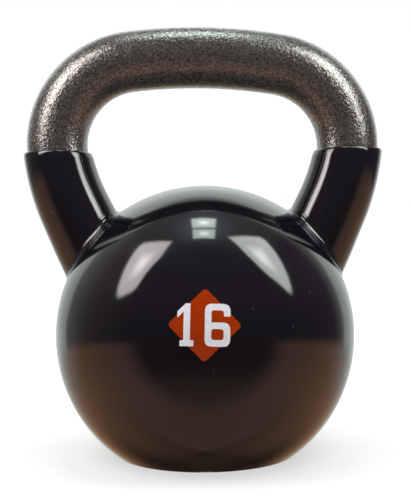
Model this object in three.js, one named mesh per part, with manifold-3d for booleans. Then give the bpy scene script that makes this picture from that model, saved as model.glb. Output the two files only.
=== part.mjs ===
// A 16 kg vinyl-dipped kettlebell. Units are millimetres, +Z is up, +X runs along the grip.
// The origin is the centre of the flat base.
//
// A cast-iron ball carries a steel bar bent into the handle. The bar's two legs stand in blind
// sockets in the ball and a weld bead fills the corner round each leg. One vinyl skin covers the
// ball, the beads and the lower legs, and ends in a level rim on each leg. The weight is printed
// on the front as two white numerals over an orange lozenge.

import * as THREE from 'three';
import { mergeVertices } from 'three/addons/utils/BufferGeometryUtils.js';
import Module from 'manifold-3d';

// ---- driving dimensions ----------------------------------------------------------------

const BALL_RADIUS = 79.7;          // over the vinyl
const BALL_CENTRE_HEIGHT = 63.4;
const BASE_EDGE_RADIUS = 1.7;      // rounding where the flat base meets the ball

const VINYL = 1.8;                 // skin thickness on the ball
const RIM_HEIGHT = 161.8;          // the level where the vinyl ends on both legs
const SLEEVE_RADIUS_AT_RIM = 18.2;
const SLEEVE_RADIUS_AT_BALL = 19.8;
const SLEEVE_THICKENS_OVER = 48;   // height over which the vinyl gets thicker, going down
const CORNER_RADIUS = 3.7;         // vinyl's concave corner between leg and ball

const BAR_RADIUS = 16.25;
const CROWN_HEIGHT = 212.7;        // centreline at the top of the grip
const CROWN_RADIUS = 288;          // the grip is slightly arched
const CROWN_SHIFT = -7.6;          // the arch peaks left of centre, so the left bend is higher
const BEND_RADIUS = 44.9;          // centreline radius of the two bends
const LEG_SPAN = 79.8;             // half the distance between the legs where they are widest
const LEG_WIDEST_HEIGHT = 178.9;
const LEG_CURVE_RADIUS = 114.5;    // below the bend each leg curves inwards
const LEG_LEAN = 24.7 * Math.PI / 180;
const SOCKET_DEPTH = 19;           // how far a leg's axis goes into the iron

const BEAD_RADIUS = 9;             // concave radius of the weld bead's face
const GAP = 0.3;                   // clearance between neighbouring pieces
const BEAD_CLEARANCE = 0.45;       // round the bead's thin edges

const PRINT_TILT_UP = 8.1 * Math.PI / 180;   // the print sits above the ball's waist
const PRINT_ROLL = -1.8 * Math.PI / 180;     // and is turned a little clockwise
const PRINT_THICKNESS = 0.3;
const LOZENGE_HALF_DIAGONAL = 17;
const LOZENGE_CORNER_RADIUS = 2;
const NUMERAL_HEIGHT = 19.4;
const STROKE = 3;                  // width of the numerals' strokes
const ONE_CENTRE = -8.1;
const SIX_CENTRE = 5.8;
const SIX_WIDTH = 11.6;

// ---- mesh fineness ---------------------------------------------------------------------

const BALL_SEGMENTS = 40;
const BALL_ROWS = 18;
const BASE_EDGE_STEPS = 3;
const BAR_SIDES = 24;
const BAR_STEPS = 62;
const SLEEVE_STEPS = 13;
const BEAD_STEPS = 30;
const BEAD_ARC_STEPS = 4;
const PRINT_BALL_SEGMENTS = 72;
const CORNER_STEPS = 4;

// ---- solids ----------------------------------------------------------------------------

const wasm = await Module();
wasm.setup();

/** A closed geometry as a manifold solid that can be joined and cut. */
function solidOf(geometry) {
  const bare = geometry.clone();
  bare.deleteAttribute('normal');
  bare.deleteAttribute('uv');
  const merged = mergeVertices(bare, 1e-4);
  return new wasm.Manifold(new wasm.Mesh({
    numProp: 3,
    vertProperties: new Float32Array(merged.attributes.position.array),
    triVerts: new Uint32Array(merged.index.array),
  }));
}

/** A manifold solid as a geometry for a mesh. */
function geometryOf(solid) {
  const mesh = solid.getMesh();
  const geometry = new THREE.BufferGeometry();
  geometry.setAttribute('position', new THREE.BufferAttribute(mesh.vertProperties, 3));
  geometry.setIndex(new THREE.BufferAttribute(mesh.triVerts, 1));
  geometry.computeVertexNormals();
  return geometry;
}

/** A ball standing on a flat base at the given height, with the edge of the base rounded. */
function flatBasedBall(radius, baseHeight, edgeRadius) {
  const edgeCentreHeight = baseHeight + edgeRadius;
  const drop = BALL_CENTRE_HEIGHT - edgeCentreHeight;
  const edgeCentreOut = Math.sqrt((radius - edgeRadius) ** 2 - drop ** 2);
  const edgeEnd = Math.atan2(-drop, edgeCentreOut);
  const profile = [new THREE.Vector2(0, baseHeight)];
  for (let i = 0; i <= BASE_EDGE_STEPS; i++) {
    const angle = THREE.MathUtils.lerp(-Math.PI / 2, edgeEnd, i / BASE_EDGE_STEPS);
    profile.push(new THREE.Vector2(
      edgeCentreOut + edgeRadius * Math.cos(angle),
      edgeCentreHeight + edgeRadius * Math.sin(angle),
    ));
  }
  for (let i = 1; i < BALL_ROWS; i++) {
    const angle = THREE.MathUtils.lerp(edgeEnd, Math.PI / 2, i / BALL_ROWS);
    profile.push(new THREE.Vector2(
      radius * Math.cos(angle),
      BALL_CENTRE_HEIGHT + radius * Math.sin(angle),
    ));
  }
  profile.push(new THREE.Vector2(0, BALL_CENTRE_HEIGHT + radius));
  const ball = new THREE.LatheGeometry(profile, BALL_SEGMENTS);
  ball.rotateX(Math.PI / 2);
  return ball;
}

/** A flat curve, drawn in x and y, stood up in the plane of the handle. */
class StandingCurve extends THREE.Curve {
  constructor(flat) {
    super();
    this.flat = flat;
  }

  getPoint(t, target = new THREE.Vector3()) {
    const point = this.flat.getPointAt(t);
    return target.set(point.x, 0, point.y);
  }
}

/** Where the bend between the crown and one leg has its centre (side is -1 left, +1 right). */
function bendCentre(side, crownCentre, legCentre) {
  const toCrown = crownCentre.clone().sub(legCentre);
  const apart = toCrown.length();
  const fromLeg = LEG_CURVE_RADIUS - BEND_RADIUS;
  const fromCrown = CROWN_RADIUS - BEND_RADIUS;
  const along = (fromLeg ** 2 - fromCrown ** 2 + apart ** 2) / (2 * apart);
  const aside = Math.sqrt(fromLeg ** 2 - along ** 2);
  const direction = toCrown.normalize();
  const outward = new THREE.Vector2(-direction.y, direction.x).multiplyScalar(side);
  return legCentre.clone().addScaledVector(direction, along).addScaledVector(outward, aside);
}

/** Direction angle from one point to another, from 0 to a full turn. */
function angleBetween(from, to) {
  const angle = Math.atan2(to.y - from.y, to.x - from.x);
  return angle < -Math.PI / 2 ? angle + 2 * Math.PI : angle;
}

/** How far down the leaning leg's axis, below its curve, the axis meets a ball of this radius. */
function axisDepthAtBall(start, direction, radius) {
  const fromCentre = start.clone().sub(new THREE.Vector2(0, BALL_CENTRE_HEIGHT));
  const b = fromCentre.dot(direction);
  return -b - Math.sqrt(b ** 2 - fromCentre.lengthSq() + radius ** 2);
}

/** The handle's centreline: leg, leg curve, bend, crown, bend, leg curve, leg. */
function handleCentreline(ironRadius) {
  const crownCentre = new THREE.Vector2(CROWN_SHIFT, CROWN_HEIGHT - CROWN_RADIUS);
  const halves = {};
  for (const side of [-1, 1]) {
    const legCentre = new THREE.Vector2(side * (LEG_SPAN - LEG_CURVE_RADIUS), LEG_WIDEST_HEIGHT);
    const bend = bendCentre(side, crownCentre, legCentre);
    const legTurn = side < 0 ? Math.PI + LEG_LEAN : -LEG_LEAN;
    const foot = new THREE.Vector2(
      legCentre.x + LEG_CURVE_RADIUS * Math.cos(legTurn),
      legCentre.y + LEG_CURVE_RADIUS * Math.sin(legTurn),
    );
    const down = new THREE.Vector2(-side * Math.sin(LEG_LEAN), -Math.cos(LEG_LEAN));
    const depth = axisDepthAtBall(foot, down, ironRadius) + SOCKET_DEPTH;
    halves[side] = {
      legCentre, bend, legTurn, foot, down,
      end: foot.clone().addScaledVector(down, depth),
      bendToLeg: angleBetween(legCentre, bend),
      bendToCrown: angleBetween(crownCentre, bend),
    };
  }
  const left = halves[-1];
  const right = halves[1];
  const arc = (centre, radius, from, to) => (
    new THREE.EllipseCurve(centre.x, centre.y, radius, radius, from, to, from > to)
  );
  const path = new THREE.CurvePath();
  path.add(new THREE.LineCurve(left.end, left.foot));
  path.add(arc(left.legCentre, LEG_CURVE_RADIUS, left.legTurn, left.bendToLeg));
  path.add(arc(left.bend, BEND_RADIUS, left.bendToLeg, left.bendToCrown));
  path.add(arc(crownCentre, CROWN_RADIUS, left.bendToCrown, right.bendToCrown));
  path.add(arc(right.bend, BEND_RADIUS, right.bendToCrown, right.bendToLeg));
  path.add(arc(right.legCentre, LEG_CURVE_RADIUS, right.bendToLeg, right.legTurn));
  path.add(new THREE.LineCurve(right.foot, right.end));
  return { path, left, right };
}

/** A round bar of one radius along a curve. */
function barAlong(curve, radius) {
  const section = new THREE.Shape();
  section.absarc(0, 0, radius, 0, 2 * Math.PI, false);
  return new THREE.ExtrudeGeometry(section, {
    steps: BAR_STEPS,
    curveSegments: BAR_SIDES / 2,    // a full circle gets twice this many sides
    bevelEnabled: false,
    extrudePath: curve,
  });
}

/** The outside of the vinyl on one leg: a round stack of rings, thicker towards the ball. */
function sleeveAlong(leg, side) {
  const top = new THREE.Vector2(leg.legCentre.x + side * LEG_CURVE_RADIUS, LEG_WIDEST_HEIGHT);
  const axis = new THREE.CurvePath();
  axis.add(new THREE.LineCurve(leg.end, leg.foot));
  axis.add(new THREE.EllipseCurve(
    leg.legCentre.x, leg.legCentre.y, LEG_CURVE_RADIUS, LEG_CURVE_RADIUS,
    leg.legTurn, angleBetween(leg.legCentre, top), side < 0,
  ));
  const positions = [];
  const index = [];
  for (let i = 0; i <= SLEEVE_STEPS; i++) {
    const centre = axis.getPointAt(i / SLEEVE_STEPS);
    const along = axis.getTangentAt(i / SLEEVE_STEPS);
    const below = THREE.MathUtils.clamp((RIM_HEIGHT - centre.y) / SLEEVE_THICKENS_OVER, 0, 1);
    const radius = THREE.MathUtils.lerp(SLEEVE_RADIUS_AT_RIM, SLEEVE_RADIUS_AT_BALL, below);
    for (let j = 0; j < BAR_SIDES; j++) {
      const turn = 2 * Math.PI * j / BAR_SIDES;
      const out = radius * Math.cos(turn);
      positions.push(
        centre.x + out * along.y,
        radius * Math.sin(turn),
        centre.y - out * along.x,
      );
    }
  }
  const ringStart = (ring) => ring * BAR_SIDES;
  for (let i = 0; i < SLEEVE_STEPS; i++) {
    for (let j = 0; j < BAR_SIDES; j++) {
      const next = (j + 1) % BAR_SIDES;
      const [a, b] = [ringStart(i) + j, ringStart(i) + next];
      const [c, d] = [ringStart(i + 1) + j, ringStart(i + 1) + next];
      index.push(a, b, d, a, d, c);
    }
  }
  for (let j = 1; j < BAR_SIDES - 1; j++) {
    const last = ringStart(SLEEVE_STEPS);
    index.push(0, j + 1, j);
    index.push(last, last + j, last + j + 1);
  }
  const sleeve = new THREE.BufferGeometry();
  sleeve.setAttribute('position', new THREE.Float32BufferAttribute(positions, 3));
  sleeve.setIndex(index);
  return sleeve;
}

/**
 * A ring that fills the corner between a leg and the ball up to a concave face. It is the path of
 * a rolling ball of cornerRadius that touches both; faceRadius is that face's own radius.
 */
function cornerRing(leg, pipeRadius, ballRadius, cornerRadius, faceRadius) {
  const start = new THREE.Vector3(leg.foot.x, 0, leg.foot.y);
  const down = new THREE.Vector3(leg.down.x, 0, leg.down.y);
  const aside = new THREE.Vector3(0, 1, 0);
  const out = new THREE.Vector3().crossVectors(down, aside);
  const ballCentre = new THREE.Vector3(0, 0, BALL_CENTRE_HEIGHT);
  const buried = 2;                // how far the ring's root lies below the corner
  const section = BEAD_ARC_STEPS + 2;
  const positions = [];
  const index = [];
  for (let i = 0; i < BEAD_STEPS; i++) {
    const turn = 2 * Math.PI * i / BEAD_STEPS;
    const radial = out.clone().multiplyScalar(Math.cos(turn))
      .addScaledVector(aside, Math.sin(turn));
    const rail = start.clone().addScaledVector(radial, pipeRadius + cornerRadius);
    const fromCentre = rail.clone().sub(ballCentre);
    const b = fromCentre.dot(down);
    const reach = ballRadius + cornerRadius;
    const travel = -b - Math.sqrt(b ** 2 - fromCentre.lengthSq() + reach ** 2);
    const centre = rail.addScaledVector(down, travel);
    const toPipe = radial.clone().negate();
    const toBall = ballCentre.clone().sub(centre).normalize();
    const spread = toPipe.angleTo(toBall);
    for (let j = 0; j <= BEAD_ARC_STEPS; j++) {
      const share = j / BEAD_ARC_STEPS;
      const direction = toPipe.clone().multiplyScalar(Math.sin((1 - share) * spread))
        .addScaledVector(toBall, Math.sin(share * spread)).normalize();
      positions.push(...centre.clone().addScaledVector(direction, faceRadius).toArray());
    }
    const toCorner = toPipe.add(toBall).normalize();
    const depth = cornerRadius / Math.cos(spread / 2) + buried;
    positions.push(...centre.clone().addScaledVector(toCorner, depth).toArray());
  }
  for (let i = 0; i < BEAD_STEPS; i++) {
    const next = (i + 1) % BEAD_STEPS;
    for (let j = 0; j < section; j++) {
      const after = (j + 1) % section;
      const [a, b] = [i * section + j, i * section + after];
      const [c, d] = [next * section + j, next * section + after];
      index.push(a, b, d, a, d, c);
    }
  }
  const ring = new THREE.BufferGeometry();
  ring.setAttribute('position', new THREE.Float32BufferAttribute(positions, 3));
  ring.setIndex(index);
  return ring;
}

/** Everything above the vinyl's rim, as a block to cut the sleeves off level. */
function blockAboveRim() {
  const side = 4 * BALL_RADIUS;
  const height = 100;
  const block = new THREE.BoxGeometry(side, side, height);
  block.translate(0, 0, RIM_HEIGHT + height / 2);
  return block;
}

// ---- the print's outlines --------------------------------------------------------------

/** A closed outline through the given corners, each rounded by the same radius. */
function roundedOutline(corners, radius) {
  const shape = new THREE.Shape();
  corners.forEach((corner, i) => {
    const before = corners[(i + corners.length - 1) % corners.length];
    const after = corners[(i + 1) % corners.length];
    const enter = corner.clone().add(before.clone().sub(corner).setLength(radius));
    const leave = corner.clone().add(after.clone().sub(corner).setLength(radius));
    if (i === 0) {
      shape.moveTo(enter.x, enter.y);
    } else {
      shape.lineTo(enter.x, enter.y);
    }
    shape.quadraticCurveTo(corner.x, corner.y, leave.x, leave.y);
  });
  shape.closePath();
  return shape;
}

/** The orange lozenge behind the numerals. */
function lozengeOutline() {
  const reach = LOZENGE_HALF_DIAGONAL;
  const corners = [[reach, 0], [0, reach], [-reach, 0], [0, -reach]]
    .map(([x, y]) => new THREE.Vector2(x, y));
  return roundedOutline(corners, LOZENGE_CORNER_RADIUS);
}

/** A plain figure one: a stem with a slanted flag and a short foot. */
function oneOutline() {
  const top = NUMERAL_HEIGHT / 2;
  const half = STROKE / 2;
  const flagReach = 1.45 * STROKE;
  const flagDrop = 1.2 * STROKE;
  const footHalf = 1.05 * STROKE;
  const footHeight = 0.9 * STROKE;
  const corners = [
    [half, top],
    [-half * 0.4, top],
    [-flagReach, top - flagDrop],
    [-flagReach, top - flagDrop - STROKE],
    [-half, top - STROKE * 1.25],
    [-half, -top + footHeight],
    [-footHalf, -top + footHeight],
    [-footHalf, -top],
    [footHalf, -top],
    [footHalf, -top + footHeight],
    [half, -top + footHeight],
  ].map(([x, y]) => new THREE.Vector2(x + ONE_CENTRE, y));
  return roundedOutline(corners, 0.35);
}

/** A plain figure six: a squared bowl under an open hook. */
function sixOutline() {
  const top = NUMERAL_HEIGHT / 2;
  const wide = SIX_WIDTH / 2;
  const bowlTop = 1.2;             // height of the bowl's upper edge above the middle
  const hookEnd = top - 1.9 * STROKE;
  const outerCorner = 3.4;
  const innerCorner = 1.3;
  const shape = new THREE.Shape();
  const x = (value) => value + SIX_CENTRE;
  shape.moveTo(x(-wide), -top + outerCorner);
  shape.lineTo(x(-wide), top - outerCorner);
  shape.quadraticCurveTo(x(-wide), top, x(-wide + outerCorner), top);
  shape.lineTo(x(wide - outerCorner), top);
  shape.quadraticCurveTo(x(wide), top, x(wide), top - outerCorner);
  shape.lineTo(x(wide), hookEnd);
  shape.lineTo(x(wide - STROKE), hookEnd);
  shape.lineTo(x(wide - STROKE), top - STROKE - innerCorner);
  shape.quadraticCurveTo(x(wide - STROKE), top - STROKE, x(wide - STROKE - innerCorner), top - STROKE);
  shape.lineTo(x(-wide + STROKE + innerCorner), top - STROKE);
  shape.quadraticCurveTo(x(-wide + STROKE), top - STROKE, x(-wide + STROKE), top - STROKE - innerCorner);
  shape.lineTo(x(-wide + STROKE), bowlTop);
  shape.lineTo(x(wide - outerCorner), bowlTop);
  shape.quadraticCurveTo(x(wide), bowlTop, x(wide), bowlTop - outerCorner);
  shape.lineTo(x(wide), -top + outerCorner);
  shape.quadraticCurveTo(x(wide), -top, x(wide - outerCorner), -top);
  shape.lineTo(x(-wide + outerCorner), -top);
  shape.quadraticCurveTo(x(-wide), -top, x(-wide), -top + outerCorner);
  shape.closePath();
  const counter = [
    [-wide + STROKE, -top + STROKE],
    [wide - STROKE, -top + STROKE],
    [wide - STROKE, bowlTop - STROKE],
    [-wide + STROKE, bowlTop - STROKE],
  ].map(([across, up]) => new THREE.Vector2(x(across), up));
  shape.holes.push(roundedOutline(counter, innerCorner));
  return shape;
}

/** A film of ink with this outline, lying on the ball; +Z points away from the ball's centre. */
function filmOnBall(outline, innerRadius) {
  const outerRadius = innerRadius + PRINT_THICKNESS;
  const start = 0.8 * BALL_RADIUS;
  const prism = new THREE.ExtrudeGeometry(outline, {
    depth: 0.4 * BALL_RADIUS,
    curveSegments: CORNER_STEPS,
    bevelEnabled: false,
  });
  prism.translate(0, 0, start);
  const rows = PRINT_BALL_SEGMENTS / 2;
  const outer = solidOf(new THREE.SphereGeometry(outerRadius, PRINT_BALL_SEGMENTS, rows));
  const inner = solidOf(new THREE.SphereGeometry(innerRadius, PRINT_BALL_SEGMENTS, rows));
  return solidOf(prism).intersect(outer).subtract(inner);
}

// ---- the pieces ------------------------------------------------------------------------

const IRON_RADIUS = BALL_RADIUS - VINYL - GAP;
const IRON_BASE_HEIGHT = VINYL + GAP;
const IRON_EDGE_RADIUS = 1;

const centreline = handleCentreline(IRON_RADIUS);
const handleCurve = new StandingCurve(centreline.path);
const legs = [[-1, centreline.left], [1, centreline.right]];

/** The bar with a clearance round it, as it is cut from its neighbours. */
function barSpace(clearance) {
  return solidOf(barAlong(handleCurve, BAR_RADIUS + clearance));
}

/** The cast-iron ball with its flat base and the two sockets. */
function ballCasting() {
  const ball = solidOf(flatBasedBall(IRON_RADIUS, IRON_BASE_HEIGHT, IRON_EDGE_RADIUS));
  return ball.subtract(barSpace(GAP));
}

/** The iron ball with a clearance round it. */
function ballSpace(clearance) {
  return solidOf(flatBasedBall(IRON_RADIUS + clearance, IRON_BASE_HEIGHT - GAP, IRON_EDGE_RADIUS));
}

/**
 * The fillet weld round the left leg. The right one is the same bead turned round. Its thin edges
 * are cut back by more than the clearance, so that they end clear of the flats on its neighbours.
 */
function weldBead() {
  const [, left] = legs[0];
  return solidOf(cornerRing(left, BAR_RADIUS, IRON_RADIUS, BEAD_RADIUS, BEAD_RADIUS))
    .subtract(barSpace(BEAD_CLEARANCE))
    .subtract(ballSpace(BEAD_CLEARANCE));
}

/** The vinyl skin: its outside, less everything it covers, cut level at the rims. */
function vinylCoat() {
  let outside = solidOf(flatBasedBall(BALL_RADIUS, 0, BASE_EDGE_RADIUS));
  let inside = ballSpace(GAP).add(barSpace(GAP));
  for (const [side, leg] of legs) {
    outside = outside.add(solidOf(sleeveAlong(leg, side)));
    outside = outside.add(solidOf(
      cornerRing(leg, SLEEVE_RADIUS_AT_BALL, BALL_RADIUS, CORNER_RADIUS, CORNER_RADIUS),
    ));
    inside = inside.add(solidOf(
      cornerRing(leg, BAR_RADIUS, IRON_RADIUS, BEAD_RADIUS, BEAD_RADIUS - GAP),
    ));
  }
  return outside.subtract(solidOf(blockAboveRim())).subtract(inside);
}

const MATERIALS = {
  iron: { color: 0x3a3a3c, roughness: 0.7, metalness: 0.7 },
  weld: { color: 0x6a6660, roughness: 0.5, metalness: 0.8 },
  hammered: { color: 0x50483f, roughness: 0.45, metalness: 0.6 },
  vinyl: { color: 0x0c0b10, roughness: 0.2, metalness: 0 },
  orange_print: { color: 0xaf3705, roughness: 0.4, metalness: 0 },
  white_print: { color: 0xe4e4e8, roughness: 0.4, metalness: 0 },
};

/** A named mesh with its own material. */
function piece(name, geometry, material) {
  const mesh = new THREE.Mesh(geometry, new THREE.MeshStandardMaterial(MATERIALS[material]));
  mesh.name = name;
  return mesh;
}

const kettlebell = new THREE.Group();
kettlebell.add(piece('ball_casting', geometryOf(ballCasting()), 'iron'));
kettlebell.add(piece('handle_bar', barAlong(handleCurve, BAR_RADIUS), 'hammered'));

const bead = geometryOf(weldBead());
kettlebell.add(piece('weld_bead_left', bead, 'weld'));
const rightBead = piece('weld_bead_right', bead, 'weld');
rightBead.rotation.z = Math.PI;
kettlebell.add(rightBead);

kettlebell.add(piece('vinyl_coat', geometryOf(vinylCoat()), 'vinyl'));

// The print's own frame has its origin at the ball's centre and +Z through the print's middle.
const print = new THREE.Group();
print.position.z = BALL_CENTRE_HEIGHT;
print.rotation.set(Math.PI / 2 - PRINT_TILT_UP, 0, 0);
const lozengeRadius = BALL_RADIUS + GAP;
const numeralRadius = lozengeRadius + PRINT_THICKNESS + GAP;
const films = [
  ['weight_badge', lozengeOutline(), lozengeRadius, 'orange_print'],
  ['weight_digit_1', oneOutline(), numeralRadius, 'white_print'],
  ['weight_digit_6', sixOutline(), numeralRadius, 'white_print'],
];
for (const [name, outline, radius, material] of films) {
  const film = piece(name, geometryOf(filmOnBall(outline, radius)), material);
  film.rotation.z = PRINT_ROLL;
  print.add(film);
}
kettlebell.add(print);

export default kettlebell;
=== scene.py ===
"""Looks for a 16 kg vinyl-dipped kettlebell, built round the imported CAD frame. Units are metres."""

import math

import bmesh
import bpy
import numpy as np
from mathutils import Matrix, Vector


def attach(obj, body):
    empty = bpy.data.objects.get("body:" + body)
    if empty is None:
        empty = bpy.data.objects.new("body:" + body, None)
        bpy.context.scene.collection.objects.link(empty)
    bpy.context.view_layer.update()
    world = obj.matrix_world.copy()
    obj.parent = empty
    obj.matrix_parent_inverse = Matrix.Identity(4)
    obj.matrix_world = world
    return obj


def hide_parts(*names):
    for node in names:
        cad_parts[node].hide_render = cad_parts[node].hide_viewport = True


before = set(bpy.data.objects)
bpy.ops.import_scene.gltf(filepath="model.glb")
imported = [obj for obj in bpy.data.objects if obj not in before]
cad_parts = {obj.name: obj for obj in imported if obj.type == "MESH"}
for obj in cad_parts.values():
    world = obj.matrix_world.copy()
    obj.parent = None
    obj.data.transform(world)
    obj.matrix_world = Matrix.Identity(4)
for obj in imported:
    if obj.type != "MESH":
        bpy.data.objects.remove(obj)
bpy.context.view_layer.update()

MM = 0.001

# ---- driving dimensions, as in the CAD model -------------------------------------------

BALL_RADIUS = 79.7 * MM            # over the vinyl
BALL_CENTRE_HEIGHT = 63.4 * MM
BALL_CENTRE = np.array([0, 0, BALL_CENTRE_HEIGHT])
BASE_EDGE_RADIUS = 1.7 * MM
VINYL = 1.8 * MM
RIM_HEIGHT = 161.8 * MM
SLEEVE_RADIUS_AT_RIM = 18.2 * MM
SLEEVE_RADIUS_AT_BALL = 19.8 * MM
SLEEVE_THICKENS_OVER = 48 * MM
CORNER_RADIUS = 3.7 * MM
BAR_RADIUS = 16.25 * MM
CROWN_HEIGHT = 212.7 * MM
CROWN_RADIUS = 288 * MM
CROWN_SHIFT = -7.6 * MM
BEND_RADIUS = 44.9 * MM
LEG_SPAN = 79.8 * MM
LEG_WIDEST_HEIGHT = 178.9 * MM
LEG_CURVE_RADIUS = 114.5 * MM
LEG_LEAN = math.radians(24.7)
SOCKET_DEPTH = 19 * MM
BEAD_RADIUS = 9 * MM
GAP = 0.3 * MM
IRON_RADIUS = BALL_RADIUS - VINYL - GAP
PRINT_TILT_UP = math.radians(8.1)
PRINT_ROLL = math.radians(-1.8)
LOZENGE_REACH = 17 * MM
HALF_NUMERAL = 9.7 * MM
STROKE = 3 * MM
ONE_CENTRE = -8.1 * MM
SIX_CENTRE = 5.8 * MM
SIX_HALF_WIDTH = 5.8 * MM

# ---- the surface's finer shape ---------------------------------------------------------

LIP_HEIGHT = 2.6 * MM              # the vinyl's rounded shoulder at the rim
LIP_INNER_RADIUS = 0.35 * MM
RIPPLE_PITCH = 2.5 * MM            # weld ripples that show through the vinyl
RIPPLE_HEIGHT = 0.09 * MM
TOE_RIDGE = 0.18 * MM              # fine ridge where the vinyl bridges the edge of the bead
RIDGE_PLACE = 0.09                 # as shares of the way across the corner
RIDGE_WIDTH = 0.035
PEBBLE_SIZE = 2.1 * MM
SMALL_PEBBLE_SIZE = 0.62 * PEBBLE_SIZE
PEBBLE_HEIGHT = 0.16 * MM
INK = 0.07 * MM                    # thickness of one printed layer
INK_LIFT = 0.02 * MM               # clear space under the first layer
INK_CELL = 1.2 * MM                # the print is cut into cells this wide, to wrap round the ball

TURNS = 256                        # points round a leg
BALL_ROWS = 84                     # rows of the skin, from the seam to the corner round a leg
CORNER_ROWS = 24
SLEEVE_ROWS = 31
HANDLE_SIDES = 160
HANDLE_SPACING = 0.64 * MM         # between rows along the handle
SOCKET_SPACING = 3 * MM            # between rows along the hidden ends


# ---- numbers ---------------------------------------------------------------------------

def smoothstep(low, high, value):
    share = np.clip((value - low) / (high - low), 0, 1)
    return share * share * (3 - 2 * share)


def unit(vectors):
    return vectors / np.linalg.norm(vectors, axis=-1, keepdims=True)


def slerp(start, end, share):
    """Unit vectors part of the way from start to end."""
    angle = np.arccos(np.clip(np.sum(start * end, axis=-1, keepdims=True), -1, 1))
    return (np.sin((1 - share) * angle) * start + np.sin(share * angle) * end) / np.sin(angle)


def rounded(corners, radius, steps=4):
    """A closed outline through the corners, each cut back by radius and rounded."""
    corners = np.array(corners, dtype=float)
    points = []
    for before, corner, after in zip(np.roll(corners, 1, 0), corners, np.roll(corners, -1, 0)):
        enter = corner + radius * unit(before - corner)
        leave = corner + radius * unit(after - corner)
        for share in np.linspace(0, 1, steps + 1):
            rest = 1 - share
            points.append(rest ** 2 * enter + 2 * share * rest * corner + share ** 2 * leave)
    return np.array(points)


def wobble(turn, seed, waves=7):
    """A smooth random curve round one turn, about -1 to 1."""
    random = np.random.default_rng(seed)
    total = np.zeros_like(turn)
    for wave in range(1, waves + 1):
        total += random.normal() / math.sqrt(wave) * np.sin(wave * turn + random.uniform(0, 2 * math.pi))
    return total / np.abs(total).max()


def random_of_cell(cell, seed):
    """Three repeatable random numbers from 0 to 1 for each whole-numbered cell."""
    steps = cell.astype(np.int64)
    mixed = (steps[..., 0] * 73856093) ^ (steps[..., 1] * 19349663) ^ (steps[..., 2] * 83492791)
    values = []
    for k in range(3):
        word = (mixed + (seed + k) * 2654435761) & 0xFFFFFFFF
        word = ((word ^ (word >> 16)) * 0x45D9F3B) & 0xFFFFFFFF
        word = ((word ^ (word >> 16)) * 0x45D9F3B) & 0xFFFFFFFF
        values.append(((word ^ (word >> 16)) & 0xFFFFFF) / float(0xFFFFFF))
    return np.stack(values, axis=-1)


def nearest_seeds(points, size, seed):
    """Distances to the nearest and second nearest of random seeds, in cells of this size."""
    scaled = points / size
    cell = np.floor(scaled)
    first = np.full(len(points), 9.0)
    second = first.copy()
    for offset in np.ndindex(3, 3, 3):
        near = cell + np.array(offset) - 1
        distance = np.linalg.norm(near + random_of_cell(near, seed) - scaled, axis=1)
        second = np.minimum(second, np.maximum(first, distance))
        first = np.minimum(first, distance)
    return first, second


def way_out(start, heading, radius):
    """How far it is from start, along the heading, to a sphere round the ball's centre."""
    from_centre = start - BALL_CENTRE
    along = from_centre @ heading
    return -along + np.sqrt(along ** 2 - np.sum(from_centre ** 2, axis=-1) + radius ** 2)


# ---- the handle's line -----------------------------------------------------------------

def leg_up(side):
    """The direction in which a leg leaves the ball."""
    return np.array([side * math.sin(LEG_LEAN), 0, math.cos(LEG_LEAN)])



def leg_axis(side, travel):
    """A leg's axis at a distance up from its foot, and the direction out of the leg."""
    lean = LEG_LEAN - np.clip(travel, 0, None) / LEG_CURVE_RADIUS
    below = np.clip(travel, None, 0)
    across = LEG_SPAN - LEG_CURVE_RADIUS + LEG_CURVE_RADIUS * np.cos(lean)
    across = across + math.sin(LEG_LEAN) * below
    up = LEG_WIDEST_HEIGHT - LEG_CURVE_RADIUS * np.sin(lean) + math.cos(LEG_LEAN) * below
    zero = np.zeros_like(lean)
    axis = np.stack([side * across, zero, up], axis=-1)
    out = np.stack([side * np.cos(lean), zero, -np.sin(lean)], axis=-1)
    return axis, out


def round_leg(side, turn, travel, radius):
    """Points at this radius round a leg's axis; turn 0 is the outer side, a quarter turn the back."""
    axis, out = leg_axis(side, np.broadcast_to(travel, turn.shape).astype(float))
    radius = np.broadcast_to(radius, turn.shape)[..., None]
    aside = np.array([0.0, 1.0, 0.0])
    return axis + radius * (np.cos(turn)[..., None] * out + np.sin(turn)[..., None] * aside)


def travel_to_level(side, turn, level, radius):
    """How far up the leg a line at this radius reaches the level."""
    low = np.full(turn.shape, -60 * MM)
    high = np.full(turn.shape, 90 * MM)
    for _ in range(40):
        middle = (low + high) / 2
        under = round_leg(side, turn, middle, radius)[..., 2] < level
        low = np.where(under, middle, low)
        high = np.where(under, high, middle)
    return (low + high) / 2


def bend_centre(side):
    """Centre of the bend that joins the crown to one leg's curve, in the XZ plane."""
    leg = np.array([side * (LEG_SPAN - LEG_CURVE_RADIUS), LEG_WIDEST_HEIGHT])
    crown = np.array([CROWN_SHIFT, CROWN_HEIGHT - CROWN_RADIUS])
    from_leg = LEG_CURVE_RADIUS - BEND_RADIUS
    from_crown = CROWN_RADIUS - BEND_RADIUS
    apart = np.linalg.norm(crown - leg)
    along = (from_leg ** 2 - from_crown ** 2 + apart ** 2) / (2 * apart)
    aside = math.sqrt(from_leg ** 2 - along ** 2)
    direction = (crown - leg) / apart
    outward = side * np.array([-direction[1], direction[0]])
    return leg + along * direction + aside * outward, leg, crown


def socket_travel():
    """Travel (below the foot, so negative) of a leg's end, deep in its socket."""
    foot, _ = leg_axis(1, np.array(0.0))
    return way_out(foot, leg_up(1), IRON_RADIUS) - SOCKET_DEPTH


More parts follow.
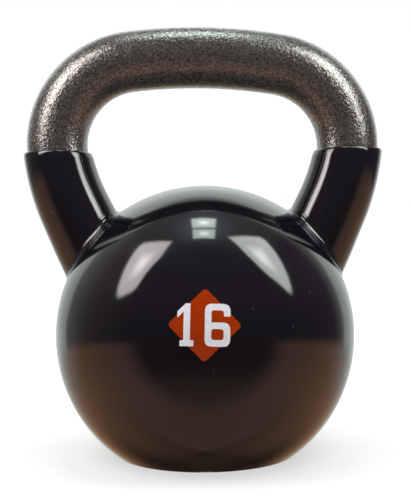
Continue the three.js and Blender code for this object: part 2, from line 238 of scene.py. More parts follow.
def handle_line(spacing):
    """The handle's centreline from the left leg's end to the right's, and the way out of its bends."""
    sides = {side: bend_centre(side) for side in (-1, 1)}
    arcs = []

    def arc(centre, radius, start, end):
        count = max(2, round(abs(end - start) * radius / spacing) + 1)
        turn = np.linspace(start, end, count)
        out = np.stack([np.cos(turn), np.sin(turn)], axis=-1)
        arcs.append((centre + radius * out, out))

    def angle_to(start, end):
        angle = math.atan2(*(end - start)[::-1])
        return angle + 2 * math.pi if angle < -math.pi / 2 else angle

    def straight(side, reverse):
        travel = np.linspace(socket_travel(), 0, round(-socket_travel() / SOCKET_SPACING))
        axis, out = leg_axis(side, travel)
        flat = (axis[:, [0, 2]], out[:, [0, 2]])
        arcs.append(tuple(part[::-1] for part in flat) if reverse else flat)

    (left_bend, left_leg, crown), (right_bend, right_leg, _) = sides[-1], sides[1]
    straight(-1, False)
    arc(left_leg, LEG_CURVE_RADIUS, math.pi + LEG_LEAN, angle_to(left_leg, left_bend))
    arc(left_bend, BEND_RADIUS, angle_to(left_leg, left_bend), angle_to(crown, left_bend))
    arc(crown, CROWN_RADIUS, angle_to(crown, left_bend), angle_to(crown, right_bend))
    arc(right_bend, BEND_RADIUS, angle_to(crown, right_bend), angle_to(right_leg, right_bend))
    arc(right_leg, LEG_CURVE_RADIUS, angle_to(right_leg, right_bend), -LEG_LEAN)
    straight(1, True)
    points = np.concatenate([arcs[0][0]] + [part[0][1:] for part in arcs[1:]])
    outs = np.concatenate([arcs[0][1]] + [part[1][1:] for part in arcs[1:]])
    return points, outs


# ---- meshes ----------------------------------------------------------------------------

def add_to_scene(name, data):
    made = bpy.data.objects.new(name, data)
    bpy.context.scene.collection.objects.link(made)
    return made


def new_object(name, points, faces, smooth=True):
    mesh = bpy.data.meshes.new(name)
    mesh.from_pydata(np.asarray(points).tolist(), [], [list(face) for face in faces])
    mesh.validate()
    mesh.polygons.foreach_set("use_smooth", [smooth] * len(mesh.polygons))
    mesh.update()
    return add_to_scene(name, mesh)


def tube_faces(index, flip):
    """Quads between neighbouring rows of a grid that closes round its second axis."""
    after = np.roll(index, -1, axis=1)
    quads = [index[:-1], after[:-1], after[1:], index[1:]]
    if flip:
        quads = quads[::-1]
    return np.stack(quads, axis=-1).reshape(-1, 4)


def handle_bar():
    """The bent bar with its hammered skin, closed at both hidden ends."""
    line, outs = handle_line(HANDLE_SPACING)
    turn = np.linspace(0, 2 * math.pi, HANDLE_SIDES, endpoint=False)
    out = np.stack([outs[:, 0], np.zeros(len(outs)), outs[:, 1]], axis=-1)[:, None]
    centre = np.stack([line[:, 0], np.zeros(len(line)), line[:, 1]], axis=-1)[:, None]
    aside = np.array([0.0, 1.0, 0.0])
    radial = np.cos(turn)[None, :, None] * out + np.sin(turn)[None, :, None] * aside
    skin = (centre + BAR_RADIUS * radial).reshape(-1, 3)
    height = pebbles(skin)
    shown = smoothstep(RIM_HEIGHT - 3 * MM, RIM_HEIGHT + 1 * MM, skin[:, 2])
    points = skin + radial.reshape(-1, 3) * (height * shown)[:, None]
    index = np.arange(len(points)).reshape(len(line), HANDLE_SIDES)
    faces = tube_faces(index, True).tolist()
    for row, end, flip in ((index[0], centre[0, 0], False), (index[-1], centre[-1, 0], True)):
        tip = len(points)
        points = np.vstack([points, end])
        pairs = zip(row, np.roll(row, -1))
        faces += [(b, a, tip) if flip else (a, b, tip) for a, b in pairs]
    return new_object("hammered_bar", points, faces)


def pebbles(points):
    """Height of the hammered paint: rounded pebbles of two sizes with thin valleys between."""
    near, far = nearest_seeds(points, PEBBLE_SIZE, 11)
    large = smoothstep(0.0, 0.55, far - near)
    near, far = nearest_seeds(points, SMALL_PEBBLE_SIZE, 23)
    small = smoothstep(0.0, 0.6, far - near)
    return PEBBLE_HEIGHT * (0.6 * large + 0.4 * small - 0.6)


def flat_based(directions, radius, base_height, edge_radius):
    """Points of a ball with a flat base and a rounded base edge, in these directions from its centre."""
    drop = BALL_CENTRE_HEIGHT - base_height
    edge_drop = drop - edge_radius
    edge_out = math.sqrt((radius - edge_radius) ** 2 - edge_drop ** 2)
    down = -directions[..., 2]
    out = np.hypot(directions[..., 0], directions[..., 1])
    reach = np.full(down.shape, radius)
    b = out * edge_out + down * edge_drop
    inside = np.clip(b ** 2 - edge_out ** 2 - edge_drop ** 2 + edge_radius ** 2, 0, None)
    on_edge = out * edge_drop < down * edge_out
    reach = np.where(on_edge, b + np.sqrt(inside), reach)
    on_base = (down > 0) & (out * drop < down * edge_out)
    reach = np.where(on_base, drop / np.where(down > 0, down, 1), reach)
    return BALL_CENTRE + reach[..., None] * directions


def rolling_corner(side, turn, pipe_radius, ball_radius, corner_radius):
    """
    A ball of corner_radius rolled round the corner between a leg and the ball: its centre, its
    directions to the leg and to the ball, and the travel where it touches the leg.
    """
    rail = round_leg(side, turn, 0.0, pipe_radius + corner_radius)
    travel = way_out(rail, leg_up(side), ball_radius + corner_radius)
    rolled = rail + travel[:, None] * leg_up(side)
    to_leg = unit(round_leg(side, turn, 0.0, pipe_radius) - rail)
    to_ball = unit(BALL_CENTRE - rolled)
    return rolled, to_leg, to_ball, travel


def sleeve_radius(side, travel):
    axis, _ = leg_axis(side, travel)
    below = np.clip((RIM_HEIGHT - axis[..., 2]) / SLEEVE_THICKENS_OVER, 0, 1)
    return SLEEVE_RADIUS_AT_RIM + (SLEEVE_RADIUS_AT_BALL - SLEEVE_RADIUS_AT_RIM) * below


def seam_directions(side, starts):
    """Where great circles from the leg's axis through these directions meet the plane x = 0."""
    foot, _ = leg_axis(side, np.array(0.0))
    up = leg_up(side)
    pole = unit(foot - BALL_CENTRE + way_out(foot, up, BALL_RADIUS) * up)
    across = unit(starts - (starts @ pole)[:, None] * pole)
    angle = np.arctan2(-side * pole[0], side * across[:, 0])
    angle = np.where(angle < 0, angle + math.pi, angle)
    ends = np.cos(angle)[:, None] * pole + np.sin(angle)[:, None] * across
    ends[:, 0] = 0
    return unit(ends)


def base_edge_angle():
    """The angle from straight down at which the ball's centre sees the rounded edge of the base."""
    edge_drop = BALL_CENTRE_HEIGHT - BASE_EDGE_RADIUS
    edge_out = math.sqrt((BALL_RADIUS - BASE_EDGE_RADIUS) ** 2 - edge_drop ** 2)
    return math.atan2(edge_out, BALL_CENTRE_HEIGHT - BASE_EDGE_RADIUS / 2)


def ball_rows(starts, ends):
    """Rows of directions from each start to its end, closer at the start and at the base's edge."""
    edge_width = 0.012
    start_width = 0.06
    fine = np.linspace(0, 1, 500)
    path = slerp(starts[None], ends[None], fine[:, None, None])
    polar = np.arccos(np.clip(-path[..., 2], -1, 1))
    from_edge = (polar - base_edge_angle()) / edge_width
    weight = 1 + 8 * np.exp(-from_edge ** 2)
    length = np.arccos(np.clip(np.sum(starts * ends, axis=-1), -1, 1))
    weight += 1.5 * np.exp(-fine[:, None] * length / start_width)
    walked = np.cumsum(weight, axis=0) - weight[0]
    walked /= walked[-1]
    steps = np.linspace(0, 1, BALL_ROWS)
    shares = np.stack([np.interp(steps, walked[:, k], fine) for k in range(len(starts))], axis=1)
    return slerp(starts[None], ends[None], shares[..., None])


def corner_rows(turn, seed, radius, rolled, to_leg, to_ball):
    """The rounded corner between ball and leg, with the weld's ripples and a ridge at each edge."""
    share = (1 - np.cos(np.linspace(0, math.pi, CORNER_ROWS)))[::-1, None] / 2
    towards = slerp(to_leg[None], to_ball[None], share[..., None])
    around = turn * SLEEVE_RADIUS_AT_BALL / RIPPLE_PITCH + 2.2 * wobble(turn, seed + 7, 12)
    ripple = np.abs(np.sin(math.pi * around / 2)) * (0.6 + 0.4 * wobble(turn, seed + 9))
    raised = RIPPLE_HEIGHT * ripple[None] * np.sin(math.pi * share) ** 2
    from_edge = np.minimum(share, 1 - share)
    ridge = np.exp(-((from_edge - RIDGE_PLACE) / RIDGE_WIDTH) ** 2)
    raised = raised + TOE_RIDGE * ridge * (0.75 + 0.25 * wobble(turn, seed + 3)[None])
    return rolled[None] + (radius[None] - raised)[..., None] * towards


def lip_rows(side, turn):
    """The rim of a sleeve: a rounded shoulder, then a small round that turns down to the bar."""
    crest = BAR_RADIUS + GAP + LIP_INNER_RADIUS
    places = []
    for angle in np.linspace(0, math.pi / 2, 10)[1:]:
        out = crest + (SLEEVE_RADIUS_AT_RIM - crest) * math.cos(angle) ** 0.8
        places.append((out, RIM_HEIGHT - LIP_HEIGHT + LIP_HEIGHT * math.sin(angle) ** 0.8))
    for angle in np.linspace(0, math.pi / 2, 4)[1:]:
        out = crest - LIP_INNER_RADIUS * math.sin(angle)
        places.append((out, RIM_HEIGHT - LIP_INNER_RADIUS * (1 - math.cos(angle))))
    return np.stack([
        round_leg(side, turn, travel_to_level(side, turn, level, out), out) for out, level in places
    ])


def inside_rows(side, turn, ends):
    """The skin's inside: down beside the bar, round the weld bead and over the iron to the seam."""
    wall = BAR_RADIUS + GAP
    rolled, to_leg, to_ball, travel = rolling_corner(
        side, turn, BAR_RADIUS, IRON_RADIUS, BEAD_RADIUS)
    top = travel_to_level(side, turn, RIM_HEIGHT - LIP_INNER_RADIUS, wall)
    descend = np.linspace(0, 1, 10)[1:, None]
    travels = top[None] + descend * (travel - top)[None]
    beside_bar = np.stack([round_leg(side, turn, row, wall) for row in travels])
    share = np.linspace(0, 1, 7)[1:, None, None]
    round_bead = rolled[None] + (BEAD_RADIUS - GAP) * slerp(to_leg[None], to_ball[None], share)
    over_iron = slerp(-to_ball[None], ends[None], np.linspace(0, 1, 20)[1:, None, None])
    over_iron = flat_based(over_iron, IRON_RADIUS + GAP, VINYL, 1 * MM)
    return np.concatenate([beside_bar, round_bead, over_iron])


def coat_side(side, turn):
    """One half of the vinyl as rows round its leg, from the seam at x = 0 and back to it inside."""
    seed = 40 + side
    radius = CORNER_RADIUS * (0.92 + 0.5 * np.sin(turn) ** 2 + 0.1 * wobble(turn, seed))
    leg_radius = SLEEVE_RADIUS_AT_BALL
    for _ in range(3):
        rolled, to_leg, to_ball, travel = rolling_corner(side, turn, leg_radius, BALL_RADIUS, radius)
        leg_radius = sleeve_radius(side, travel)
    _, _, plain_to_ball, _ = rolling_corner(
        side, turn, SLEEVE_RADIUS_AT_BALL, BALL_RADIUS, CORNER_RADIUS)
    ends = seam_directions(side, -plain_to_ball)
    ball = flat_based(ball_rows(-to_ball, ends)[::-1], BALL_RADIUS, 0, BASE_EDGE_RADIUS)
    corner = corner_rows(turn, seed, radius, rolled, to_leg, to_ball)
    top = travel_to_level(side, turn, RIM_HEIGHT - LIP_HEIGHT, SLEEVE_RADIUS_AT_RIM)
    climb = np.linspace(0, 1, SLEEVE_ROWS)[1:, None]
    travels = travel[None] + climb * (top - travel)[None]
    sleeve = np.stack([round_leg(side, turn, row, sleeve_radius(side, row)) for row in travels])
    inside = inside_rows(side, turn, ends)
    return np.concatenate([ball, corner[1:], sleeve, lip_rows(side, turn), inside])


def vinyl_skin():
    """The dipped coat: ball, sleeves, rounded rims and the inside, as one closed surface."""
    turn = np.linspace(0, 2 * math.pi, TURNS, endpoint=False)
    left = coat_side(-1, turn)
    right = coat_side(1, turn)
    rows = len(left)
    left_index = np.arange(rows * TURNS).reshape(rows, TURNS)
    right_index = left_index.copy()
    right_index[1:-1] = rows * TURNS + np.arange((rows - 2) * TURNS).reshape(rows - 2, TURNS)
    points = np.concatenate([left.reshape(-1, 3), right[1:-1].reshape(-1, 3)])
    faces = np.concatenate([tube_faces(left_index, True), tube_faces(right_index, False)])
    return new_object("vinyl_skin", points, faces)


# ---- the print -------------------------------------------------------------------------

def lozenge_outline():
    reach = LOZENGE_REACH
    return [rounded([(reach, 0), (0, reach), (-reach, 0), (0, -reach)], 2 * MM, 8)]


def one_outline():
    top = HALF_NUMERAL
    half = STROKE / 2
    flag = 1.45 * STROKE
    foot = 1.05 * STROKE
    foot_top = -top + 0.9 * STROKE
    corners = [
        (half, top), (-half * 0.4, top), (-flag, top - 1.2 * STROKE), (-flag, top - 2.2 * STROKE),
        (-half, top - 1.25 * STROKE), (-half, foot_top), (-foot, foot_top), (-foot, -top),
        (foot, -top), (foot, foot_top), (half, foot_top),
    ]
    return [rounded([(x + ONE_CENTRE, y) for x, y in corners], 0.35 * MM)]


def six_outline():
    top = HALF_NUMERAL
    wide = SIX_HALF_WIDTH
    bowl = 1.2 * MM
    hook = top - 1.9 * STROKE
    outer = 3.4 * MM
    inner = 1.3 * MM
    turns = [
        ((-wide, -top), outer), ((-wide, top), outer), ((wide, top), outer), ((wide, hook), 0.3 * MM),
        ((wide - STROKE, hook), 0.3 * MM), ((wide - STROKE, top - STROKE), inner),
        ((-wide + STROKE, top - STROKE), inner), ((-wide + STROKE, bowl), 0.1 * MM),
        ((wide, bowl), outer), ((wide, -top), outer),
    ]
    corners = np.array([corner for corner, _ in turns])
    points = []
    for k, (_, radius) in enumerate(turns):
        trio = corners[[k - 1, k, (k + 1) % len(turns)]]
        points.append(rounded(trio, radius, 6)[7:14])
    counter = rounded([
        (-wide + STROKE, -top + STROKE), (wide - STROKE, -top + STROKE),
        (wide - STROKE, bowl - STROKE), (-wide + STROKE, bowl - STROKE),
    ], inner)
    shift = np.array([SIX_CENTRE, 0])
    return [np.concatenate(points) + shift, counter + shift]


def filled(loops):
    """A flat sheet inside the outlines, cut straight both ways into small cells."""
    bm = bmesh.new()
    edges = []
    for loop in loops:
        corners = [bm.verts.new((x, y, 0)) for x, y in loop]
        pairs = zip(corners, corners[1:] + corners[:1])
        edges += [bm.edges.new(pair) for pair in pairs]
    bmesh.ops.triangle_fill(bm, use_beauty=True, use_dissolve=False, edges=edges, normal=(0, 0, 1))
    low = np.min([loop.min(axis=0) for loop in loops], axis=0)
    high = np.max([loop.max(axis=0) for loop in loops], axis=0)
    for axis, normal in ((0, (1, 0, 0)), (1, (0, 1, 0))):
        for k in range(math.ceil(low[axis] / INK_CELL), math.floor(high[axis] / INK_CELL) + 1):
            place = Vector(normal) * k * INK_CELL
            everything = bm.verts[:] + bm.edges[:] + bm.faces[:]
            bmesh.ops.bisect_plane(bm, geom=everything, dist=1e-7, plane_co=place, plane_no=normal)
    bmesh.ops.remove_doubles(bm, verts=bm.verts[:], dist=1e-6)
    bmesh.ops.recalc_face_normals(bm, faces=bm.faces[:])
    if sum(face.normal.z for face in bm.faces) < 0:
        bmesh.ops.reverse_faces(bm, faces=bm.faces[:])
    return bm


def laid_on_ball(x, y, radius):
    """Where a point of the flat print lies on the ball's face, at this radius."""
    roll = complex(math.cos(PRINT_ROLL), math.sin(PRINT_ROLL))
    tilt = complex(math.cos(PRINT_TILT_UP), math.sin(PRINT_TILT_UP))
    flat = complex(x, y) * roll
    out = math.sqrt(BALL_RADIUS ** 2 - abs(flat) ** 2)
    risen = complex(out, flat.imag) * tilt * radius / BALL_RADIUS
    across = flat.real * radius / BALL_RADIUS
    return across, -risen.real, BALL_CENTRE_HEIGHT + risen.imag


def ink_film(name, loops, inner_radius):
    """A printed layer: a flat sheet that is wrapped on the ball and thickened."""
    bm = filled(loops)
    top = bmesh.ops.extrude_face_region(bm, geom=bm.faces[:])
    raised = {element for element in top["geom"] if isinstance(element, bmesh.types.BMVert)}
    for vert in bm.verts:
        radius = inner_radius + (INK if vert in raised else 0)
        vert.co = laid_on_ball(vert.co.x, vert.co.y, radius)
    bmesh.ops.recalc_face_normals(bm, faces=bm.faces[:])
    mesh = bpy.data.meshes.new(name)
    bm.to_mesh(mesh)
    bm.free()
    return add_to_scene(name, mesh)


# ---- materials -------------------------------------------------------------------------

class Nodes:
    """One node tree. add() makes a node, sets its options, and links or sets its inputs."""

    def __init__(self, tree):
        self.tree = tree
        tree.nodes.clear()

    def add(self, kind, inputs=None, **options):
        node = self.tree.nodes.new(kind)
        for name, value in options.items():
            setattr(node, name, value)
        for name, value in (inputs or {}).items():
            self.put(node, name, value)
        return node

    def put(self, node, name, value):
        if isinstance(value, bpy.types.NodeSocket):
            self.tree.links.new(value, node.inputs[name])
        else:
            node.inputs[name].default_value = value

    def maths(self, operation, *values):
        node = self.add("ShaderNodeMath", operation=operation)
        for k, value in enumerate(values):
            self.put(node, k, value)
        return node.outputs[0]

    def span(self, value, low, high, to_low=0.0, to_high=1.0):
        """The value's place between low and high, smoothly from to_low to to_high."""
        node = self.add("ShaderNodeMapRange", interpolation_type="SMOOTHSTEP")
        for k, number in enumerate((value, low, high, to_low, to_high)):
            self.put(node, k, number)
        return node.outputs[0]

    def mix(self, share, first, second):
        """From the first colour to the second; they are inputs 6 and 7 of a colour mix."""
        node = self.add("ShaderNodeMix", data_type="RGBA")
        self.put(node, "Factor", share)
        self.put(node, 6, first)
        self.put(node, 7, second)
        return node.outputs[2]

    def ramp(self, value, stops):
        """A colour that goes through the stops: (place, (r, g, b))."""
        node = self.add("ShaderNodeValToRGB", {"Fac": value})
        elements = node.color_ramp.elements
        while len(elements) < len(stops):
            elements.new(1.0)
        # A new position can reorder the elements, so the colours go in afterwards.
        for element, (place, _) in zip(elements, stops):
            element.position = place
        for element, (_, colour) in zip(elements, stops):
            element.color = (*colour, 1)
        return node.outputs[0]

    def noise(self, place, size, detail=2.0, roughness=0.5, distortion=0.0):
        """Cloud noise, with clouds of this size in metres."""
        return self.add("ShaderNodeTexNoise", {
            "Vector": place, "Scale": 1 / size, "Detail": detail,
            "Roughness": roughness, "Distortion": distortion,
        }).outputs[0]

    def cells(self, place, size, feature="F1"):
        return self.add("ShaderNodeTexVoronoi", {
            "Vector": place, "Scale": 1 / size,
        }, feature=feature).outputs["Distance"]

    def bump(self, height, depth, before=None):
        """A bump from a height of 0 to 1 that stands for this depth in metres."""
        inputs = {"Height": height, "Distance": depth, "Strength": 1.0}
        if before is not None:
            inputs["Normal"] = before
        return self.add("ShaderNodeBump", inputs).outputs[0]


def blank_material(name):
    made = bpy.data.materials.new(name)
    made.use_nodes = True
    return made, Nodes(made.node_tree)


def material(name, build):
    """A node material; build(nodes, place) returns the inputs of its Principled shader."""
    made, nodes = blank_material(name)
    place = nodes.add("ShaderNodeTexCoord").outputs["Object"]
    principled = nodes.add("ShaderNodeBsdfPrincipled", build(nodes, place))
    nodes.add("ShaderNodeOutputMaterial", {"Surface": principled.outputs[0]})
    return made


def stretched(nodes, place, scale, turn):
    """The place turned and squeezed, for a grain that runs one way."""
    return nodes.add("ShaderNodeMapping", {
        "Vector": place, "Rotation": turn, "Scale": scale,
    }).outputs[0]


def vinyl(nodes, place):
    """Gloss black dipped vinyl with faint waves, a dull bloom here and there and fine scuffs."""
    cloud = nodes.noise(place, 30 * MM, detail=3)
    speckle = nodes.noise(place, 1.1 * MM, detail=3, roughness=0.65)
    streaks = nodes.noise(stretched(nodes, place, (0.9, 1.0, 14.0), (0.3, 0.4, 0.9)), 9 * MM, detail=4)
    scuff = nodes.maths("MULTIPLY", nodes.span(streaks, 0.66, 0.74), nodes.span(cloud, 0.5, 0.62))
    dull = nodes.span(cloud, 0.35, 0.75, 0.065, 0.10)
    rough = nodes.maths("ADD", dull, nodes.maths("MULTIPLY", scuff, 0.14))
    colour = nodes.mix(cloud, (0.0020, 0.0024, 0.0040, 1), (0.0034, 0.0038, 0.0056, 1))
    colour = nodes.mix(nodes.maths("MULTIPLY", scuff, 0.5), colour, (0.022, 0.020, 0.020, 1))
    dust = nodes.span(nodes.cells(place, 10 * MM), 0.034, 0.018, 0.0, 0.8)
    colour = nodes.mix(dust, colour, (0.17, 0.17, 0.17, 1))
    waves = nodes.bump(nodes.noise(place, 16 * MM, detail=1), 0.05 * MM)
    return {
        "Base Color": colour,
        "Roughness": rough,
        "IOR": 1.5,
        "Normal": nodes.bump(speckle, 0.007 * MM, waves),
    }


def hammered(nodes, place):
    """Brown-grey hammered paint: metallic flake with dark veins, under a gloss that fills some of it."""
    dimples = nodes.noise(place, 1.35 * MM, detail=2, roughness=0.6, distortion=0.6)
    grains = nodes.cells(place, 0.85 * MM, "SMOOTH_F1")
    veins = nodes.noise(place, 1.0 * MM, detail=1, roughness=0.5, distortion=0.8)
    cloud = nodes.noise(place, 12 * MM, detail=4)
    height = nodes.maths("MULTIPLY_ADD", grains, 0.22, dimples)
    flake = nodes.span(height, 0.42, 0.78)
    colour = nodes.mix(flake, (0.101, 0.096, 0.086, 1), (0.184, 0.175, 0.156, 1))
    colour = nodes.mix(nodes.span(cloud, 0.4, 0.7, 0.0, 0.35), colour, (0.138, 0.134, 0.124, 1))
    colour = nodes.mix(nodes.span(veins, 0.39, 0.55, 0.72, 0.0), colour, (0.024, 0.022, 0.020, 1))
    return {
        "Base Color": colour,
        "Metallic": 0.77,
        "Roughness": nodes.span(cloud, 0.3, 0.7, 0.21, 0.29),
        "Coat Weight": 0.6,
        "Coat Roughness": 0.08,
        "Normal": nodes.bump(height, 0.30 * MM),
        "Coat Normal": nodes.bump(height, 0.14 * MM),
    }


def cast_iron(nodes, place):
    """Bare sand-cast iron, grainy and matt, with a little rust in the hollows."""
    grain = nodes.noise(place, 0.8 * MM, detail=5, roughness=0.7)
    patch = nodes.noise(place, 14 * MM, detail=4)
    rust = nodes.maths("MULTIPLY", nodes.span(patch, 0.55, 0.75), nodes.span(grain, 0.6, 0.4))
    dark = nodes.mix(grain, (0.028, 0.028, 0.031, 1), (0.062, 0.061, 0.063, 1))
    return {
        "Base Color": nodes.mix(rust, dark, (0.11, 0.045, 0.022, 1)),
        "Metallic": 0.6,
        "Roughness": nodes.span(grain, 0.3, 0.7, 0.6, 0.8),
        "Normal": nodes.bump(grain, 0.25 * MM),
    }


def weld_metal(nodes, place):
    """Weld metal: bright steel with a straw and blue heat tint and fine spatter."""
    tint = nodes.noise(place, 9 * MM, detail=3)
    spatter = nodes.cells(place, 1.6 * MM, "SMOOTH_F1")
    return {
        "Base Color": nodes.ramp(tint, [
            (0.3, (0.16, 0.15, 0.145)), (0.5, (0.17, 0.125, 0.075)), (0.68, (0.07, 0.085, 0.14)),
        ]),
        "Metallic": 0.9,
        "Roughness": nodes.span(tint, 0.3, 0.7, 0.32, 0.5),
        "Normal": nodes.bump(spatter, 0.12 * MM),
    }


def ink(colour, shade):
    """Screen-printed ink, a little uneven, with the vinyl's black showing in pinholes."""
    def build(nodes, place):
        mottle = nodes.noise(place, 2.2 * MM, detail=4, roughness=0.6)
        worn = nodes.span(nodes.noise(place, 0.5 * MM, detail=3), 0.70, 0.78, 0.0, 0.7)
        body = nodes.mix(nodes.span(mottle, 0.3, 0.7), colour, shade)
        return {
            "Base Color": nodes.mix(worn, body, (0.012, 0.010, 0.010, 1)),
            "Roughness": nodes.span(mottle, 0.3, 0.7, 0.26, 0.4),
            "Specular IOR Level": 0.12,
            "Normal": nodes.bump(mottle, 0.02 * MM),
        }
    return build


# ---- studio ----------------------------------------------------------------------------

CAMERA_PLACE = Vector((0.0008, -0.4769, 0.1085))
CAMERA_ROLL = 0.013
CAMERA_LENS = 63.36                # millimetres, on a sensor 36 wide
SOFTBOX_DISTANCE = 0.26            # from the ball's skin
PANE_HEIGHT = 1.05
PANE_HALF_WIDTH = 0.115
BACKDROP = (0.92, 1.0, 0.98)       # white sheet
SHEET_EDGE = (0.42, 0.42, 0.40)
DIM_WALL = (0.14, 0.10, 0.12)
LEFT_WALL = (0.25, 0.20, 0.18)     # a little more light falls on it
CEILING = (0.37, 0.37, 0.38)
SKYLIGHT = (0.85, 0.95, 1.0)
NEAR_BROWN = (1.0, 0.55, 0.40)     # table top before the object
SIDE_BROWN = (1.0, 0.54, 0.30)     # and on both sides of it
FLOOR_REACH = 3.0


def direction(azimuth, elevation):
    """Azimuth 0 is towards the camera, at -Y, and grows to the right."""
    azimuth = math.radians(azimuth)
    elevation = math.radians(elevation)
    level = math.cos(elevation)
    return Vector((level * math.sin(azimuth), -level * math.cos(azimuth), math.sin(elevation)))


def seen_in_ball(azimuth, elevation, distance):
    """The place this far from the ball's skin that the camera sees mirrored in this direction."""
    outward = direction(azimuth, elevation)
    centre = Vector(BALL_CENTRE)
    point = centre
    for _ in range(6):
        to_camera = (CAMERA_PLACE - point).normalized()
        point = centre + BALL_RADIUS * (outward + to_camera).normalized()
    return point + distance * outward


def light_panel(name, middle, outline, colour, strength, edge):
    """A diffuser with a lamp behind: brightest in the middle, even further out, fading at the edge."""
    count = len(outline)
    faces = [(0, 1 + k, 1 + (k + 1) % count) for k in range(count)]
    panel = new_object(name, [tuple(point) for point in (middle, *outline)], faces, smooth=False)
    layer = panel.data.uv_layers.new(name="panel")
    for loop, place in zip(panel.data.loops, layer.data):
        place.uv = (0 if loop.vertex_index == 0 else 1, 0)
    made, nodes = blank_material(name)
    spot = nodes.add("ShaderNodeSeparateXYZ", {0: nodes.add("ShaderNodeTexCoord").outputs["UV"]})
    out = spot.outputs[0]
    lamp = nodes.maths("MULTIPLY_ADD", nodes.span(out, 0.6, 0.0), 0.8, 0.8)
    power = nodes.maths("MULTIPLY", lamp, nodes.span(out, 1.0, 1.0 - edge, 0.0, strength))
    glow = nodes.add("ShaderNodeEmission", {"Color": (*colour, 1), "Strength": power})
    nodes.add("ShaderNodeOutputMaterial", {"Surface": glow.outputs[0]})
    panel.data.materials.append(made)
    panel.visible_camera = False


def softbox(name, middle, outline, colour, strength):
    """A panel beside the camera, its corners given by the directions in which the ball mirrors them."""
    corners = [seen_in_ball(*corner, SOFTBOX_DISTANCE) for corner in rounded(outline, 5.0)]
    light_panel(name, seen_in_ball(*middle, SOFTBOX_DISTANCE), corners, colour, strength, 0.2)


def ceiling_panel(name, front, back, strength):
    """One pane of the light overhead, from its front edge to its back edge along Y."""
    half = PANE_HALF_WIDTH
    outline = [(-half, front), (half, front), (half, back), (-half, back)]
    corners = [(x, y, PANE_HEIGHT) for x, y in outline]
    middle = (0, (front + back) / 2, PANE_HEIGHT)
    light_panel(name, middle, corners, (0.88, 1.0, 0.95), strength, 0.12)


def shaded(colour, share):
    return tuple(share * part for part in colour)


class Sky:
    """The directions of a world shader in degrees, and the colours of the room in each of them."""

    def __init__(self, nodes):
        self.nodes = nodes
        towards = nodes.add("ShaderNodeTexCoord").outputs["Generated"]
        x, y, z = nodes.add("ShaderNodeSeparateXYZ", {0: towards}).outputs
        front = nodes.maths("MULTIPLY", y, -1.0)
        self.azimuth = nodes.maths("DEGREES", nodes.maths("ARCTAN2", x, front))
        self.elevation = nodes.maths("DEGREES", nodes.maths("ARCSINE", z))
        self.from_front = nodes.maths("DEGREES", nodes.maths("ARCCOSINE", front))
        self.aside = nodes.maths("ABSOLUTE", self.azimuth)

    def by_angle(self, angle, limit, stops):
        """A colour for each angle from -limit to limit."""
        share = self.nodes.maths("DIVIDE", self.nodes.maths("ADD", angle, limit), 2 * limit)
        places = [((place + limit) / (2 * limit), colour) for place, colour in stops]
        return self.nodes.ramp(share, places)

    def room(self):
        """White backdrop behind, dim walls beside and in front, brighter towards the ceiling."""
        nodes = self.nodes
        walls = self.by_angle(self.azimuth, 180.0, [
            (-131, BACKDROP), (-127, SHEET_EDGE), (-100, LEFT_WALL), (-60, DIM_WALL),
            (115, DIM_WALL), (127, SHEET_EDGE), (131, BACKDROP),
        ])
        rise = nodes.span(self.elevation, 0.0, 32.0)
        bright = nodes.maths("MULTIPLY_ADD", rise, 0.55, 1.05)
        low = nodes.maths("SUBTRACT", 1.0, rise)
        low_behind = nodes.maths("MULTIPLY", nodes.span(self.aside, 150.0, 172.0), low)
        bright = nodes.maths("MULTIPLY", bright, nodes.maths("MULTIPLY_ADD", low_behind, -0.35, 1.0))
        lit = nodes.add("ShaderNodeVectorMath", {0: walls, "Scale": bright}, operation="SCALE")
        return lit.outputs[0]

    def ceiling(self):
        """Grey, pale straight overhead, and dimmer in front."""
        colour = self.by_angle(self.elevation, 90.0, [
            (60, CEILING), (72, shaded(CEILING, 1.25)), (82, SKYLIGHT),
        ])
        frontal = self.nodes.span(self.from_front, 82.0, 66.0)
        return self.nodes.mix(frontal, colour, (0.24, 0.20, 0.24, 1))

    def table(self):
        """Warm brown, dark where the camera's side shades it, and the backdrop's sweep behind."""
        nodes = self.nodes
        in_front = self.by_angle(self.elevation, 90.0, [
            (-80, shaded(NEAR_BROWN, 0.65)), (-30, shaded(NEAR_BROWN, 0.9)),
            (-10, shaded(NEAR_BROWN, 0.8)),
        ])
        beside = self.by_angle(self.elevation, 90.0, [
            (-80, shaded(SIDE_BROWN, 0.4)), (-30, shaded(SIDE_BROWN, 0.95)),
            (-10, shaded(SIDE_BROWN, 0.85)),
        ])
        behind = self.by_angle(self.elevation, 90.0, [
            (-80, shaded(SIDE_BROWN, 0.25)), (-60, shaded(SIDE_BROWN, 0.1)),
            (-50, shaded(SIDE_BROWN, 0.15)), (-30, shaded(SIDE_BROWN, 0.7)),
            (-8, shaded(BACKDROP, 0.9)),
        ])
        colour = nodes.mix(nodes.span(self.aside, 62.0, 85.0), in_front, beside)
        colour = nodes.mix(nodes.span(self.aside, 100.0, 150.0), colour, behind)
        below = nodes.span(self.elevation, -12.0, -45.0)
        shade = nodes.mix(below, (0.13, 0.075, 0.075, 1), (0.42, 0.27, 0.20, 1))
        deep = nodes.maths("MULTIPLY", self.elevation, 1.1)
        deep_squared = nodes.maths("MULTIPLY", deep, deep)
        spread = nodes.maths("SQRT", nodes.maths("MULTIPLY_ADD", self.aside, self.aside, deep_squared))
        colour = nodes.mix(nodes.span(spread, 66.0, 44.0), colour, shade)
        far = nodes.span(self.elevation, -42.0, -18.0)
        sweep = nodes.maths("MULTIPLY", nodes.span(self.aside, 152.0, 174.0), far)
        return nodes.mix(sweep, colour, (0.88, 0.94, 0.88, 1))


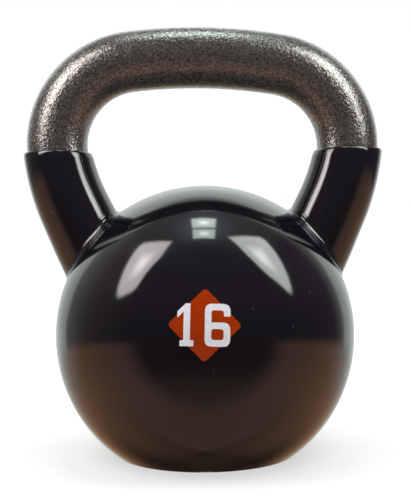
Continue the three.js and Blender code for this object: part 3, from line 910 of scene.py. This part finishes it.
def studio_world():
    """The room that the vinyl mirrors. The camera sees plain white in its place."""
    world = bpy.data.worlds.new("studio")
    bpy.context.scene.world = world
    world.use_nodes = True
    nodes = Nodes(world.node_tree)
    sky = Sky(nodes)
    upper = nodes.mix(nodes.span(sky.elevation, 44.0, 56.0), sky.room(), sky.ceiling())
    past_side = nodes.maths("SUBTRACT", sky.aside, 60.0)
    level = nodes.maths("MULTIPLY_ADD", past_side, 0.075, sky.elevation)
    mirrored = nodes.mix(nodes.span(level, -5.5, 0.0), sky.table(), upper)
    camera_ray = nodes.add("ShaderNodeLightPath").outputs["Is Camera Ray"]
    colour = nodes.mix(camera_ray, mirrored, (1, 1, 1, 1))
    background = nodes.add("ShaderNodeBackground", {"Color": colour, "Strength": 1.0})
    nodes.add("ShaderNodeOutputWorld", {"Surface": background.outputs[0]})


def floor():
    """A wide pale floor that fades into the white backdrop away from the object."""
    rings, spokes = 24, 48
    radii = FLOOR_REACH * np.linspace(0, 1, rings + 1)[1:] ** 2
    turn = np.linspace(0, 2 * math.pi, spokes, endpoint=False)
    points = np.stack([np.outer(radii, np.cos(turn)), np.outer(radii, np.sin(turn)),
                       np.zeros((rings, spokes))], axis=-1).reshape(-1, 3)
    index = np.arange(rings * spokes).reshape(rings, spokes)
    faces = tube_faces(index, True).tolist() + [list(index[0])]
    made = new_object("floor", points, faces, smooth=False)
    paint, nodes = blank_material("pale_floor")
    place = nodes.add("ShaderNodeTexCoord").outputs["Object"]
    away = nodes.add("ShaderNodeVectorMath", {0: place}, operation="LENGTH").outputs["Value"]
    matt = nodes.add("ShaderNodeBsdfDiffuse", {"Color": (0.8, 0.8, 0.8, 1)})
    white = nodes.add("ShaderNodeEmission", {"Color": (1, 1, 1, 1), "Strength": 1.12})
    both = nodes.add("ShaderNodeMixShader", {0: nodes.span(away, 0.04, 0.2, 0.55, 1.0)})
    nodes.put(both, 1, matt.outputs[0])
    nodes.put(both, 2, white.outputs[0])
    nodes.add("ShaderNodeOutputMaterial", {"Surface": both.outputs[0]})
    made.data.materials.append(paint)
    made.visible_glossy = False


def camera():
    """Level with the top of the ball and close, so the handle and the base are seen at a slant."""
    data = bpy.data.cameras.new("camera")
    data.sensor_width = 36
    data.lens = CAMERA_LENS
    made = add_to_scene("camera", data)
    made.location = CAMERA_PLACE
    made.rotation_euler = (math.pi / 2, CAMERA_ROLL, 0)
    bpy.context.scene.camera = made


# ---- the object ------------------------------------------------------------------------

def dress(piece, finish, slot, *nodes):
    """Gives a new piece its material and lets it stand for the CAD nodes. The slot is not used."""
    piece.data.materials.clear()
    piece.data.materials.append(finish)
    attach(piece, "root")
    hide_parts(*nodes)


def repaint(node, finish):
    """A carried-over CAD node keeps its shape and gets a better material."""
    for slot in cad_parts[node].material_slots:
        slot.material = finish


dress(vinyl_skin(), material("gloss_vinyl", vinyl), "vinyl", "vinyl_coat")
dress(handle_bar(), material("hammered_paint", hammered), "hammered_paint", "handle_bar")

orange = material("orange_ink", ink((0.37, 0.034, 0.0, 1), (0.31, 0.026, 0.0, 1)))
white = material("white_ink", ink((0.80, 0.80, 0.82, 1), (0.70, 0.70, 0.73, 1)))
badge_radius = BALL_RADIUS + INK_LIFT
numeral_radius = BALL_RADIUS + INK + 0.05 * MM
dress(ink_film("badge_print", lozenge_outline(), badge_radius), orange, "orange_print", "weight_badge")
dress(ink_film("one_print", one_outline(), numeral_radius), white, "white_print", "weight_digit_1")
dress(ink_film("six_print", six_outline(), numeral_radius), white, "white_print", "weight_digit_6")

repaint("ball_casting", material("cast_iron", cast_iron))
weld_paint = material("weld_metal", weld_metal)
repaint("weld_bead_left", weld_paint)
repaint("weld_bead_right", weld_paint)

softbox("softbox_left", (-70, 48), [(-75, 20), (-60, 29), (-55, 60), (-65, 73), (-100, 57)],
        (1.0, 0.95, 0.94), 11.0)
softbox("softbox_right", (70, 52), [(75, 20), (60, 42), (55, 60), (62, 78), (105, 60)],
        (0.96, 1.0, 0.97), 10.5)
ceiling_panel("ceiling_panel_near", -0.235, -0.072, 10.7)
ceiling_panel("ceiling_panel_far", -0.056, 0.13, 11.5)
studio_world()
floor()
camera()
bpy.context.scene.view_settings.view_transform = "Standard"
